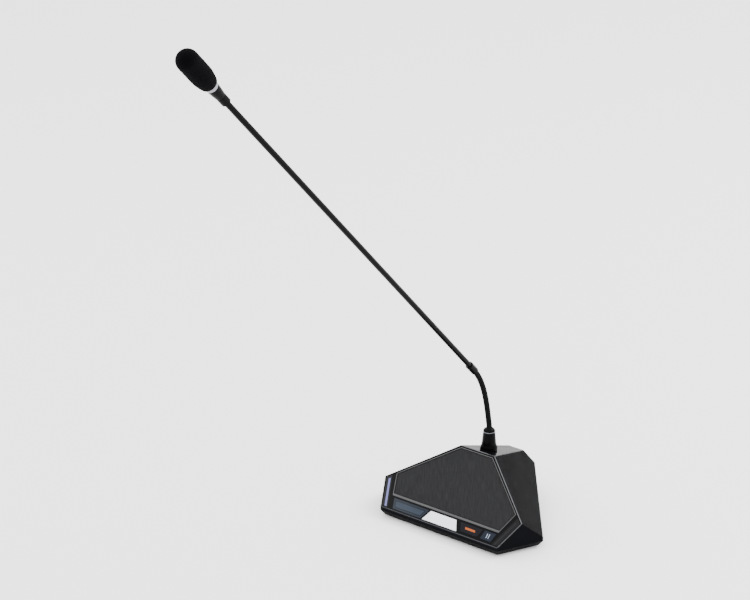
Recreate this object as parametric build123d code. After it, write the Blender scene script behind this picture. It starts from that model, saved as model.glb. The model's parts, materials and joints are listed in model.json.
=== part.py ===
from build123d import *

import os
from math import atan2, cos, hypot, radians, sin, sqrt, tan

# Gooseneck podium microphone: a faceted desk station with a loudspeaker and a plug-in microphone.
# Millimetres. +Z is up, -Y is towards the person who speaks, and +X is to the right for someone
# who faces the station. The origin is on the table, under the middle of the station.

# ---------------------------------------------------------------- driving dimensions
# Front panel, measured on its own slope from its lower edge
panel_slope = 41.3          # degrees from level
panel_foot_half = 78.6      # half width at the lower edge
panel_waist_half = 92.0     # half width where it is widest
panel_waist_up = 34.4       # how far up the slope that is
panel_head_half = 22.6      # half width at the top edge
panel_length = 96.4         # lower edge to top edge

# Station body
base_depth = 152.5          # front edge to rear wall
top_slope = 18.6            # degrees that the top falls towards the rear
shoulder_half = 103.6       # half width at the side corners
shoulder_back = 50.5        # how far those corners are behind the front edge
rear_wall_half = 22.3       # half width of the connector wall
rear_bevel = 20.5           # degrees that the facet above it leans forward
rim_band = 4.6              # upright band round the foot of the housing
tray_depth = 6.5            # visible depth of the base tray
tray_inset = 4.6            # how far its walls draw in
sole_thickness = 1.5
sole_inset = 9.0
housing_wall = 2.2
tray_floor = 2.0
edge_bevel = 1.1            # width of the bright bevels on the edges
lip_height = 2.4            # tray lip inside the housing
lip_setback = 8.0           # the lip starts this far behind the front edge, clear of the keys
fit_gap = 0.15              # between pieces that drop into each other
overrun = 1.0               # how far a cutting shape runs past the face that it opens

# Fixings
boss_radius = 4.0
screw_radius = 1.5          # M3
screw_play = 0.05
screw_head_radius = 2.7
screw_head_height = 1.8
screw_head_recess = 0.2     # the heads sit this far inside the tray's underside
screw_grip = 7.0            # depth of the pilot hole in the housing boss
screw_tip_gap = 0.5         # left free at the bottom of the pilot hole
hex_share = 0.6             # the driver recess, as a share of the head or shank
sleeve_clear = 2.0          # ballast kept clear round each screw sleeve
post_clear = 1.0            # and round each board post
side_boss = (83.0, 60.0)    # across, and back from the front edge
rear_boss = (31.0, 121.0)

# Things set into the front panel (depths are measured into the body)
rim_width = 1.4             # housing rim round the panel
frame_top = 0.5             # the frame's face lies this far below the rim
frame_thickness = 3.0
frame_web = 0.5             # of the frame left behind the grille backer
ledge_width = 2.0
ledge_thickness = 2.0
grille_waist_half = 80.6    # opening for the loudspeaker grille
grille_waist_up = 42.0
grille_foot_half = 71.4
grille_foot_up = 16.3
grille_head_up = 94.4
bezel_width = 0.9
bezel_foot = 2.4            # the bar below the grille
bezel_top = 0.3
grille_gap = 0.5
grille_top = 0.7
grille_thickness = 0.8
backer_thickness = 1.5
backer_lip = 1.5
backer_skin = 0.4           # the speaker screws stop this far short of the backer's face

# Loudspeaker
speaker_up = 56.0           # its centre, up the slope
speaker_radius = 29.0
speaker_gasket = 1.0
speaker_flange = 1.2
speaker_depth = 21.0        # flange to the back of the magnet
surround_outer = 24.0
surround_rise = 1.5
surround_skin = 0.6
surround_flat = 0.9         # flat edge each side of the half roll
surround_gap = 0.02
basket_sheet = 0.8
basket_window = 12.0        # width of the four openings in the skirt
basket_window_low = 0.6     # and their distance from the skirt's ends
basket_window_high = 2.0
magnet_step = 1.0
magnet_plate = 1.5
dust_cap_rise = 2.6
cone_outer = 20.5
cone_inner = 7.5
cone_depth = 8.0
cone_thickness = 0.7
magnet_radius = 16.0
magnet_height = 9.0
sound_hole_radius = 2.4
sound_hole_pitch = 7.0
speaker_screw_circle = 26.8
speaker_screw_end = 0.5     # of the backer left in front of each screw

# Keys, display window and indicators
strip_foot = 1.9            # lower edge of the row of keys
strip_head = 14.3           # upper edge
small_key_foot = 3.4        # the two keys on the right stop a little higher
speak_head_half = 17.2
speak_foot_half = 23.4
window_head = (-67.6, -19.6)
window_foot = (-63.2, -25.4)
priority_head = (22.4, 53.4)
priority_foot = (27.6, 49.6)
channel_head = (55.2, 70.2)
channel_foot = (53.4, 67.6)
key_gap = 0.25
key_proud = 0.3             # keys stand this far above the frame
key_flange = 0.8
key_flange_thickness = 1.2
key_rest_gap = 0.1
key_travel = 1.0
key_end_gap = 0.3           # left under the plunger when its key is pressed
lamp_depth = 0.6
lamp_width = 13.0
lamp_height = 2.4
mark_width = 0.7
mark_height = 5.2
mark_spacing = 2.6
window_thickness = 2.0      # of the window below the frame's face
window_ledge = 1.2
window_gap = 0.1
display_gap = 0.2
display_thickness = 2.3
indicator_inset = 1.75
indicator_width = 7.0
guide_inset = 4.6
guide_width = 2.4
guide_end = 2.2
guide_end_extra = 2.6       # the guide stops this much further from the upper end
lens_gap = 0.05
lens_top = 0.4
lens_thickness = 2.2
guide_depth = 4.6

# Boards
board_thickness = 1.6
control_board_depth = 9.0
control_board_head = 20.0
control_board_end = 5.0     # past the last key's middle
control_arm_inset = 2.0     # the arms behind the indicators, from the guides' inner edge
control_arm_width = 9.0
control_arm_end = 10.0
led_side = 2.0
led_height = 1.0
led_shares = (0.2, 0.5, 0.75)
switch_side = 6.0
switch_height = 3.0
plunger_length = 2.2
plunger_radius = 1.75
plunger_play = 0.05
post_radius = 2.1
post_across = 45.0
post_up = 17.2
small_screw_radius = 1.0    # M2
small_head_radius = 1.9
small_head_height = 1.3
small_screw_grip = 4.0      # beyond the board
small_screw_hole = 5.0
main_board_front = 58.0     # from the front edge
main_board_back = 114.0
main_board_half = 45.0
tongue_half = 19.0
tongue_end = 5.5            # from the rear wall
main_board_rise = 10.6      # above the underside of the tray
board_post_across = 38.0
board_post_end = 6.0        # from the wide part's front and back edges
board_post_radius = 3.0

ballast_thickness = 4.0
ballast_inset = 15.0

# Rear sockets
jack_width = 16.0
jack_height = 13.4
jack_depth = 18.0
jack_spacing = 19.0
jack_mouth_width = 11.8
jack_mouth_height = 7.6
jack_mouth_rise = 3.0
jack_mouth_depth = 13.0
jack_recess = 0.3
latch_width = 4.0
latch_depth = 1.5
contact_pitch = 1.02
contact_count = 8
contact_width = 0.45
contact_height = 0.6
contact_length = 7.0
contact_start = 4.0         # middle of each wire, from the closed end of the mouth
contact_drop = 0.5

# Microphone socket and plug
socket_setback = 21.178     # socket axis behind the panel's top edge
socket_radius = 9.4
socket_proud = 4.103        # top of the socket above the sloping top, at its axis
socket_wall_radius = 8.0
socket_depth = 33.0
contact_block = 12.0        # solid lower end that holds the contacts
contact_floor = 1.0
contact_wall = 0.45
contact_play = 0.05
contact_top_gap = 0.5
plug_radius = 5.5
running_gap = 0.1
plug_rest_gap = 0.2         # under the plug when it is home
pin_circle = 3.1
pin_radius = 0.7
pin_count = 5
pin_length = 9.0
collar_foot_radius = 9.1
collar_foot_band = 0.8
collar_flare = 3.4          # height at which the flare of the foot ends
collar_waist_radius = 8.1
collar_top_radius = 6.7
collar_height = 18.0
collar_rest_gap = 0.3
ring_gap = 0.2
ring_height = 0.9
ring_radius = 6.8
dome_height = 4.4
dome_top_radius = 3.6

# Gooseneck, stem and head, all on the plane x = 0
neck_rise = 5.2             # first pivot above the foot of the plug's shoulder
neck_links = 8
neck_pitch = 10.06          # pivot to pivot
neck_radius = 3.15
neck_bore = 1.6
neck_first_tilt = 10.8      # degrees forward of upright
neck_last_tilt = 37.4
neck_curl = 2.04             # how late the bend comes
neck_vee = 10.2             # degrees that each link end is cut back
neck_gap = 0.3
stem_tilt = 44.28
sleeve_start = 1.4          # distances from the last pivot, along the stem
sleeve_length = 17.4
sleeve_radius = 4.3
sleeve_bevel = 0.8
stem_start = 6.0
coupler_start = 560.8
coupler_length = 11.2
coupler_radius = 4.8
stem_radius = 3.05
stem_wall = 0.8
stem_grip = 6.0             # of the stem inside the coupler
coupler_bevel = 0.7
cable_radius = 1.2
cable_play = 0.3
cable_end = 1.0
housing_length = 14.8
head_wall = 1.2
head_floor = 3.0
head_band = 2.0             # parallel length below the lamp ring
housing_swell = 0.7         # share of its flare that the housing reaches half way up
housing_foot_radius = 4.9
housing_top_radius = 6.1
lamp_ring_length = 4.9
lamp_ring_radius = 6.2
collar_step = 0.3           # between the lamp ring and the windscreen
capsule_radius = 5.9
capsule_length = 26.0
cartridge_play = 0.4        # between the cartridge and the basket's bore
cartridge_length = 8.0
cartridge_rim = 2.0
basket_wall = 0.7
nose_slot_width = 2.2
nose_slot_share = 0.4       # of the nose's length
nose_slot_middle = 0.68
foam_length = 49.4
foam_radius = 10.9
foam_foot_radius = 8.2
foam_play = 0.3
foam_end_gap = 1.0          # between the nose's tip and the end of the foam's bore
foam_swell = 0.25           # share of its length over which the foam swells

# ---------------------------------------------------------------- levels and reference points
tray_z = sole_thickness
rim_z = tray_z + tray_depth
foot_z = rim_z + rim_band
front_y = -base_depth / 2

slope_cos, slope_sin = cos(radians(panel_slope)), sin(radians(panel_slope))
panel = Plane(origin=(0, front_y, foot_z), x_dir=(1, 0, 0), z_dir=(0, -slope_sin, slope_cos))


def on_panel(across, up, depth=0.0):
    """A point given by its place on the front panel and its depth below it."""
    return panel.from_local_coords(Vector(across, up, -depth))


def facet(a, b, c):
    """The plane through three points, facing away from the middle of the station."""
    middle = Vector(0, 0, foot_z + 8)
    normal = (b - a).cross(c - a).normalized()
    if (middle - a).dot(normal) > 0:
        normal = normal * -1
    return Plane(origin=a, z_dir=normal)


def mirrored(plane):
    """The same facet on the other side of the station."""
    o, n = plane.origin, plane.z_dir
    return Plane(origin=(-o.X, o.Y, o.Z), z_dir=(-n.X, n.Y, n.Z))


foot_corner = on_panel(panel_foot_half, 0)
waist_corner = on_panel(panel_waist_half, panel_waist_up)
head_corner = on_panel(panel_head_half, panel_length)
shoulder = Vector(shoulder_half, front_y + shoulder_back, foot_z)
rear_foot = Vector(rear_wall_half, front_y + base_depth, foot_z)

side_facet = facet(waist_corner, head_corner, shoulder)
cheek_facet = facet(foot_corner, waist_corner, shoulder)
rear_side_facet = facet(shoulder, rear_foot, rear_foot + Vector(0, 0, 10))
top_facet = Plane(origin=head_corner, z_dir=(0, sin(radians(top_slope)), cos(radians(top_slope))))
rear_facet = Plane(origin=rear_foot, z_dir=(0, 1, 0))
front_facet = Plane(origin=(0, front_y, foot_z), z_dir=(0, -1, 0))


def height_on(plane, x, y):
    """Height of a facet over the point (x, y)."""
    o, n = plane.origin, plane.z_dir
    return o.Z - ((x - o.X) * n.X + (y - o.Y) * n.Y) / n.Z


rear_wall_top = height_on(side_facet, rear_foot.X, rear_foot.Y)
bevel_facet = Plane(
    origin=(0, rear_foot.Y, rear_wall_top),
    z_dir=(0, cos(radians(rear_bevel)), sin(radians(rear_bevel))),
)
upper_facets = [
    top_facet, bevel_facet, rear_facet,
    side_facet, mirrored(side_facet), cheek_facet, mirrored(cheek_facet),
    rear_side_facet, mirrored(rear_side_facet),
]

# Outline of the station at the foot of the housing, anticlockwise from the front left
footprint = [
    (-panel_foot_half, front_y), (panel_foot_half, front_y),
    (shoulder.X, shoulder.Y), (rear_foot.X, rear_foot.Y),
    (-rear_foot.X, rear_foot.Y), (-shoulder.X, shoulder.Y),
]
# Outline of the front panel, on the panel
panel_outline = [
    (-panel_foot_half, 0), (panel_foot_half, 0), (panel_waist_half, panel_waist_up),
    (panel_head_half, panel_length), (-panel_head_half, panel_length),
    (-panel_waist_half, panel_waist_up),
]


# ---------------------------------------------------------------- helpers
def inset(points, amounts):
    """A convex outline with each edge moved inwards, by one amount or by one for each edge."""
    count = len(points)
    if not isinstance(amounts, (list, tuple)):
        amounts = [amounts] * count
    lines = []
    for i in range(count):
        (x0, y0), (x1, y1) = points[i], points[(i + 1) % count]
        length = hypot(x1 - x0, y1 - y0)
        nx, ny = (y1 - y0) / length, (x0 - x1) / length
        lines.append((nx, ny, nx * x0 + ny * y0 - amounts[i]))
    corners = []
    for i in range(count):
        (a, b, c), (d, e, f) = lines[i - 1], lines[i]
        det = a * e - b * d
        corners.append(((c * e - b * f) / det, (a * f - c * d) / det))
    return corners


def facet_block(planes, low, high, gap=0.0):
    """The convex solid inside a set of facets, each moved inwards by gap, between two levels."""
    size = 4 * base_depth
    solid = Pos(0, 0, (low + high) / 2) * Box(size, size, high - low)
    for plane in planes:
        solid = split(solid, bisect_by=plane.offset(-gap), keep=Keep.BOTTOM)
    return solid


def level_slab(points, low, high):
    """An upright prism between two levels."""
    return extrude(Plane.XY.offset(low) * Polygon(*points, align=None), amount=high - low)


def panel_slab(points, shallow, deep):
    """A prism square to the front panel, between two depths."""
    return extrude(panel.offset(-shallow) * Polygon(*points, align=None), amount=shallow - deep)


def panel_rod(across, up, radius, shallow, deep):
    """A round rod square to the front panel, between two depths."""
    place = Plane(origin=on_panel(across, up, shallow), x_dir=panel.x_dir, z_dir=panel.z_dir)
    return extrude(place * Circle(radius), amount=shallow - deep)


def rod(x, y, radius, low, high):
    """An upright round rod."""
    return Pos(x, y, low) * Cylinder(radius, high - low, align=(Align.CENTER, Align.CENTER, Align.MIN))


def turned(place, profile):
    """A solid turned about the place's z axis from an outline of (radius, height) points."""
    outline = Plane.XZ * Polygon(*profile, align=None)
    return place * revolve(outline, axis=Axis.Z)


def group(solids):
    """Separate solids that share one node."""
    return Compound(children=[s for shape in solids for s in shape.solids()])


os.makedirs("parts", exist_ok=True)


def save(name, shape):
    """Write one sub-part."""
    export_step(shape, f"parts/{name}.step")


def bevel_plane(a, b):
    """The plane that takes the sharp edge off where two facets meet."""
    normal = (a.z_dir + b.z_dir).normalized()
    line = a.z_dir.cross(b.z_dir)
    half_turn = atan2(line.length, a.z_dir.dot(b.z_dir)) / 2
    # a point on the edge: the one nearest to the first facet's own origin
    along = line.cross(a.z_dir)
    on_edge = a.origin + along * ((b.origin - a.origin).dot(b.z_dir) / along.dot(b.z_dir))
    return Plane(origin=on_edge - normal * (edge_bevel / 2 * tan(half_turn)), z_dir=normal)


# ---------------------------------------------------------------- housing
def make_upper_housing():
    """Thin moulded shell, open below and at the front, with a ledge for the front frame."""
    facets = [panel] + upper_facets
    bevels = [bevel_plane(panel, other) for other in (
        top_facet, side_facet, mirrored(side_facet), cheek_facet, mirrored(cheek_facet))]
    bevels += [bevel_plane(top_facet, other) for other in (
        side_facet, mirrored(side_facet), bevel_facet)]
    bevels += [bevel_plane(bevel_facet, other) for other in (side_facet, mirrored(side_facet))]
    bevels += [bevel_plane(rear_side_facet, side_facet)]
    bevels += [bevel_plane(mirrored(rear_side_facet), mirrored(side_facet))]
    high = head_corner.Z + overrun
    shell = facet_block(facets + bevels, foot_z, high)
    shell += level_slab(footprint, rim_z, foot_z)
    shell = split(shell, bisect_by=bevel_plane(panel, front_facet), keep=Keep.BOTTOM)

    inner_panel = panel.offset(housing_wall - frame_back - ledge_thickness)
    cavity = facet_block([inner_panel] + upper_facets, foot_z - 0.01, high, housing_wall)
    cavity += level_slab(inset(footprint, housing_wall), rim_z - overrun, foot_z)
    shell -= cavity
    shell -= panel_slab(inset(panel_outline, rim_width), -1, frame_back)
    ledge = rim_width + ledge_width
    window = inset(panel_outline, [rim_width, rim_width, ledge, ledge, ledge, rim_width])
    shell -= panel_slab(window, frame_back - 0.1, frame_back + ledge_thickness + overrun)

    inside = facet_block([inner_panel] + upper_facets, foot_z, high, housing_wall / 2)
    inside += level_slab(inset(footprint, housing_wall / 2), rim_z, foot_z)
    for x, y in boss_places:
        boss = rod(x, y, boss_radius, rim_z, high)
        pilot = rod(x, y, screw_radius + screw_play, rim_z - overrun, rim_z + screw_grip)
        shell = (shell + (boss & inside)) - pilot

    for x in jack_places:
        hole = Pos(x, rear_foot.Y, jack_z + jack_height / 2) * Box(
            jack_width + 2 * fit_gap, 2 * (jack_recess + jack_depth + fit_gap),
            jack_height + 2 * fit_gap)
        shell -= hole
    shell -= rod(0, socket_y, socket_wall_radius + fit_gap, foot_z, high)
    return shell


boss_places = [
    (sign * x, front_y + back) for x, back in (side_boss, rear_boss) for sign in (-1, 1)
]
board_post_places = [
    (sign * board_post_across, front_y + back)
    for back in (main_board_front + board_post_end, main_board_back - board_post_end)
    for sign in (-1, 1)
]
board_z = tray_z + main_board_rise
jack_z = board_z + board_thickness
jack_places = (-jack_spacing / 2, jack_spacing / 2)
socket_y = head_corner.Y + socket_setback
socket_z = height_on(top_facet, 0, socket_y) + socket_proud


def tray_facets():
    """Outer faces of the tray's sloping walls."""
    count = len(footprint)
    low = inset(footprint, tray_inset)
    return [
        facet(Vector(*footprint[i], rim_z), Vector(*footprint[(i + 1) % count], rim_z),
              Vector(*low[i], tray_z))
        for i in range(count)
    ]


def make_base_tray():
    """Shallow tray with sloping walls, an inner lip, screw sleeves and board posts."""
    walls = tray_facets()
    tray = facet_block(walls, tray_z, rim_z)
    lip_outer = inset(footprint, housing_wall + fit_gap)
    lip = level_slab(lip_outer, rim_z, rim_z + lip_height)
    hollow = level_slab(inset(footprint, 2 * housing_wall), rim_z, rim_z + lip_height + overrun)
    hollow += facet_block(walls, tray_z + tray_floor, rim_z, housing_wall)
    keys_clear = Pos(0, front_y, rim_z + lip_height) * Box(
        2 * panel_waist_half, 2 * lip_setback, 2 * lip_height)
    tray = (tray + (lip - keys_clear)) - hollow
    for x, y in boss_places:
        tray -= rod(x, y, boss_radius + fit_gap, rim_z, rim_z + lip_height + overrun)
        tray += rod(x, y, boss_radius, tray_z, rim_z)
        tray -= rod(x, y, screw_radius + screw_play, tray_z - overrun, rim_z + overrun)
        tray -= rod(x, y, screw_head_radius + fit_gap, tray_z - overrun, tray_z + screw_head_height)
    for x, y in board_post_places:
        tray += rod(x, y, board_post_radius, tray_z + tray_floor - 0.1, board_z)
        tray -= rod(x, y, small_screw_radius + screw_play, board_z - small_screw_hole, board_z + overrun)
    return tray


def make_rubber_sole():
    """Thin non-slip sheet under the tray, cut clear round the screws."""
    sole = level_slab(inset(footprint, tray_inset + sole_inset), 0, sole_thickness)
    for x, y in boss_places:
        sole -= rod(x, y, screw_head_radius + post_clear, -overrun, sole_thickness + overrun)
    return sole


def make_housing_screws():
    """Four screws from below, through the tray into the housing."""
    return group([
        rod(x, y, screw_radius, tray_z + screw_head_height, rim_z + screw_grip - screw_tip_gap)
        + rod(x, y, screw_head_radius, tray_z + screw_head_recess, tray_z + screw_head_height)
        - rod(x, y, screw_radius * hex_share, tray_z, tray_z + screw_head_height * hex_share)
        for x, y in boss_places
    ])


def make_ballast():
    """Steel plate on the tray floor that keeps the station from tipping."""
    low = tray_z + tray_floor
    plate = level_slab(inset(footprint, tray_inset + ballast_inset), low, low + ballast_thickness)
    for x, y in boss_places:
        plate -= rod(x, y, boss_radius + sleeve_clear, low - overrun, low + ballast_thickness + overrun)
    for x, y in board_post_places:
        plate -= rod(x, y, board_post_radius + post_clear, low - overrun, low + ballast_thickness + overrun)
    return plate


def make_main_board():
    """T-shaped board: the wide part in the middle, the tongue under the rear sockets."""
    front, back = front_y + main_board_front, front_y + main_board_back
    tongue = rear_foot.Y - tongue_end
    outline = [
        (-main_board_half, front), (main_board_half, front), (main_board_half, back),
        (tongue_half, back), (tongue_half, tongue), (-tongue_half, tongue),
        (-tongue_half, back), (-main_board_half, back),
    ]
    board = level_slab(outline, board_z, board_z + board_thickness)
    for x, y in board_post_places:
        board -= rod(x, y, small_screw_radius + screw_play, board_z - overrun,
                     board_z + board_thickness + overrun)
    return board


def small_screw(x, y, seat, grip):
    """Pan-head M2 screw, head up, with its underside at the level of seat."""
    return (rod(x, y, small_screw_radius, seat - grip, seat)
            + rod(x, y, small_head_radius, seat, seat + small_head_height))


# ---------------------------------------------------------------- front panel
frame_back = frame_top + frame_thickness
backer_back = frame_back - frame_web
window_back = frame_top + window_thickness
grille_outline = [
    (-grille_foot_half, grille_foot_up), (grille_foot_half, grille_foot_up),
    (grille_waist_half, grille_waist_up),
    (panel_head_half - rim_width, grille_head_up), (rim_width - panel_head_half, grille_head_up),
    (-grille_waist_half, grille_waist_up),
]


def strip_key(head, foot, foot_up):
    """Outline of a key or window in the row below the grille."""
    return [(foot[0], foot_up), (foot[1], foot_up), (head[1], strip_head), (head[0], strip_head)]


speak_outline = strip_key((-speak_head_half, speak_head_half), (-speak_foot_half, speak_foot_half),
                          strip_foot)
window_outline = strip_key(window_head, window_foot, strip_foot)
priority_outline = strip_key(priority_head, priority_foot, small_key_foot)
channel_outline = strip_key(channel_head, channel_foot, small_key_foot)
key_outlines = {"speak": speak_outline, "priority": priority_outline, "channel": channel_outline}


def flip(points):
    """The outline mirrored to the other side of the panel."""
    return [(-x, y) for x, y in reversed(points)]


def cheek_strip(near, width, foot, head):
    """Outline of a band that runs up beside the panel's right lower edge, near to far inside it."""
    (x0, y0), (x1, y1) = panel_outline[1], panel_outline[2]
    (x2, y2) = panel_outline[3]
    length = hypot(x1 - x0, y1 - y0)
    nx, ny = (y1 - y0) / length, (x0 - x1) / length
    upper = hypot(x2 - x1, y2 - y1)
    mx, my = (y2 - y1) / upper, (x1 - x2) / upper
    corners = []
    for depth in (near + width, near):
        level = nx * x0 + ny * y0 - depth
        corners.append(((level - ny * foot) / nx, foot))
    for depth in (near, near + width):
        level = nx * x0 + ny * y0 - depth
        top = mx * x1 + my * y1 - head
        det = nx * my - ny * mx
        corners.append(((level * my - ny * top) / det, (nx * top - level * mx) / det))
    return corners


lens_outline = cheek_strip(indicator_inset, indicator_width, indicator_inset, indicator_inset)
guide_outline = cheek_strip(guide_inset, guide_width, guide_end,
                             guide_end + guide_end_extra)


def make_front_frame():
    """Black frame that carries the grille, keys, window and indicators."""
    frame = panel_slab(inset(panel_outline, rim_width + fit_gap), frame_top, frame_back)
    frame -= panel_slab(grille_outline, 0, backer_back)
    frame -= panel_slab(inset(grille_outline, backer_lip), 0, frame_back + overrun)
    for outline in key_outlines.values():
        frame -= panel_slab(outline, 0, frame_back + overrun)
    frame -= panel_slab(window_outline, 0, window_back)
    frame -= panel_slab(inset(window_outline, window_ledge), 0, frame_back + overrun)
    for outline in (lens_outline, flip(lens_outline)):
        frame -= panel_slab(outline, 0, lens_top + lens_thickness)
    for outline in (guide_outline, flip(guide_outline)):
        frame -= panel_slab(inset(outline, -fit_gap), 0, frame_back + overrun)
    for sign in (-1, 1):
        frame += panel_rod(sign * post_across, post_up, post_radius, frame_back, control_board_depth)
        frame -= panel_rod(sign * post_across, post_up, small_screw_radius + screw_play,
                           frame_back + frame_web, control_board_depth + overrun)
    return frame


def make_grille_backer():
    """Stiff plate behind the grille, pierced in front of the loudspeaker."""
    shallow, deep = backer_back - backer_thickness, backer_back
    backer = panel_slab(inset(grille_outline, fit_gap), shallow, deep)
    row = sound_hole_pitch * sqrt(3) / 2
    reach = int(surround_outer / row) + 1
    holes = []
    for j in range(-reach, reach + 1):
        for i in range(-reach, reach + 1):
            x = (i + (j % 2) / 2) * sound_hole_pitch
            y = j * row
            if hypot(x, y) + sound_hole_radius < surround_outer:
                holes.append(panel_rod(x, speaker_up + y, sound_hole_radius,
                                       shallow - overrun, deep + overrun))
    backer -= holes
    for x, up in speaker_screw_places:
        backer -= panel_rod(x, up, small_screw_radius + screw_play, shallow + backer_skin, deep + overrun)
    return backer


speaker_screw_places = [
    (sx * speaker_screw_circle * sin(radians(45)), speaker_up + sy * speaker_screw_circle * sin(radians(45)))
    for sx in (-1, 1) for sy in (-1, 1)
]
bezel_inner = inset(grille_outline, [fit_gap + bezel_foot] + [fit_gap + bezel_width] * 5)


def make_grille_bezel():
    """Thin satin frame round the grille, with a wider bar below it."""
    deep = backer_back - backer_thickness
    ring = panel_slab(inset(grille_outline, fit_gap), bezel_top, deep)
    return ring - panel_slab(bezel_inner, bezel_top - overrun, deep + overrun)


def make_speaker_grille():
    """Cloth-covered grille sheet inside the bezel."""
    return panel_slab(inset(bezel_inner, grille_gap), grille_top, grille_top + grille_thickness)


def speaker_place(depth):
    """Frame on the loudspeaker's axis, with z pointing into the body."""
    return Plane(origin=on_panel(0, speaker_up, depth), x_dir=(1, 0, 0), z_dir=panel.z_dir * -1)


def make_speaker_gasket():
    """Soft ring that seals the loudspeaker to the backer."""
    deep = backer_back
    ring = [(surround_outer, 0), (speaker_radius, 0), (speaker_radius, speaker_gasket),
            (surround_outer, speaker_gasket)]
    gasket = turned(speaker_place(deep), ring)
    for x, up in speaker_screw_places:
        gasket -= panel_rod(x, up, small_screw_radius + screw_play,
                            deep - overrun, deep + speaker_gasket + overrun)
    return gasket


def make_speaker_basket():
    """Pressed frame: flange, sloping skirt with four windows, and a seat for the magnet."""
    start = backer_back + speaker_gasket
    seat = speaker_depth - magnet_height
    sheet, skirt_start = basket_sheet, surround_rise + 2 * basket_sheet + 0.6
    profile = [
        (surround_outer, 0), (speaker_radius, 0), (speaker_radius, speaker_flange),
        (surround_outer + 0.8, speaker_flange), (surround_outer + 0.8, skirt_start),
        (magnet_radius - 1, seat), (cone_inner + 1.5, seat), (cone_inner + 1.5, seat - sheet),
        (magnet_radius - 2, seat - sheet), (surround_outer, skirt_start - sheet),
    ]
    basket = turned(speaker_place(start), profile)
    for angle in (0, 90):
        low, high = skirt_start + basket_window_low, seat - basket_window_high
        cut = Rot(0, 0, angle) * Pos(0, 0, (low + high) / 2) * Box(
            3 * speaker_radius, basket_window, high - low)
        basket -= speaker_place(start) * cut
    for x, up in speaker_screw_places:
        basket -= panel_rod(x, up, small_screw_radius + screw_play,
                            start - overrun, start + speaker_flange + overrun)
    return basket


def make_speaker_cone():
    """Paper cone with a domed dust cap."""
    start = backer_back + speaker_gasket
    t = cone_thickness
    cap, cap_shoulder, edge = cone_depth - dust_cap_rise, cone_depth - 2.0, 0.2
    profile = [
        (0, cap), (cone_inner * 0.6, cap_shoulder), (cone_inner, cone_depth - 0.4),
        (cone_outer, edge), (cone_outer, edge + t), (cone_inner + 0.6, cone_depth + t),
        (cone_inner - 0.6, cone_depth + t), (cone_inner * 0.6, cap_shoulder + t), (0, cap + t),
    ]
    return turned(speaker_place(start), profile)


def make_speaker_surround():
    """Rubber half-roll between the cone and the basket."""
    start = backer_back + speaker_gasket
    low, high = cone_outer + surround_gap, surround_outer - surround_gap
    middle, rise, skin, flat = (low + high) / 2, surround_rise, surround_skin, surround_flat
    foot = 0.25
    profile = [
        (low, foot), (low, foot + skin), (low + flat / 2, foot + skin), (middle - skin, rise + skin),
        (middle + skin, rise + skin), (high - flat / 2, foot + skin), (high, foot + skin),
        (high, foot), (high - flat, foot), (middle, rise), (low + flat, foot),
    ]
    return turned(speaker_place(start), profile)


def make_speaker_magnet():
    """Ring magnet between two smaller steel plates."""
    plate_radius = magnet_radius - magnet_step
    start = backer_back + speaker_gasket + speaker_depth - magnet_height
    profile = [
        (0, 0), (plate_radius, 0), (plate_radius, magnet_plate), (magnet_radius, magnet_plate),
        (magnet_radius, magnet_height - magnet_plate), (plate_radius, magnet_height - magnet_plate),
        (plate_radius, magnet_height), (0, magnet_height),
    ]
    return turned(speaker_place(start), profile)


def panel_screw(across, up, seat, grip):
    """M2 screw driven towards the front, with its head's underside at the depth of seat."""
    return (panel_rod(across, up, small_screw_radius, seat - grip, seat)
            + panel_rod(across, up, small_head_radius, seat, seat + small_head_height))


def make_speaker_screws():
    """Four screws through the basket's flange into the backer."""
    seat = backer_back + speaker_gasket + speaker_flange
    grip = speaker_gasket + speaker_flange + backer_thickness - speaker_screw_end
    return group([panel_screw(x, up, seat, grip) for x, up in speaker_screw_places])


# ---------------------------------------------------------------- keys, window, indicators
key_top = frame_top - key_proud
flange_top = frame_back + key_rest_gap
flange_back = flange_top + key_flange_thickness


def centre_of(points):
    """The mean of an outline's corners."""
    return (sum(p[0] for p in points) / len(points), sum(p[1] for p in points) / len(points))


def make_key(outline, lamp=None):
    """A key cap with a flange behind the frame that stops it from falling out."""
    key = panel_slab(inset(outline, key_gap), key_top, flange_top)
    key += panel_slab(inset(outline, -key_flange + key_gap), flange_top, flange_back)
    if lamp:
        key -= panel_slab(lamp, key_top - overrun, key_top + lamp_depth)
    return key


def lozenge(points, across, tall):
    """A slanted bar in the middle of a key."""
    cx, cy = centre_of(points)
    lean = tall / 2
    return [(cx - across / 2 + lean / 2, cy - tall / 2), (cx + across / 2 + lean / 2, cy - tall / 2),
            (cx + across / 2 - lean / 2, cy + tall / 2), (cx - across / 2 - lean / 2, cy + tall / 2)]


def box_outline(x, y, wide, tall):
    """A rectangle round a point of the panel."""
    return [(x - wide / 2, y - tall / 2), (x + wide / 2, y - tall / 2),
            (x + wide / 2, y + tall / 2), (x - wide / 2, y + tall / 2)]


priority_lamp_outline = lozenge(priority_outline, lamp_width, lamp_height)
channel_mark_outlines = [
    box_outline(centre_of(channel_outline)[0] + shift, centre_of(channel_outline)[1],
                mark_width, mark_height)
    for shift in (-mark_spacing / 2, mark_spacing / 2)
]


def make_channel_key():
    key = make_key(channel_outline)
    for mark in channel_mark_outlines:
        key -= panel_slab(mark, key_top - overrun, key_top + lamp_depth)
    return key


def make_plunger(outline):
    """The switch's own plunger, which rides on the key."""
    across, up = centre_of(outline)
    return panel_rod(across, up, plunger_radius, flange_back, flange_back + plunger_length)


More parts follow.
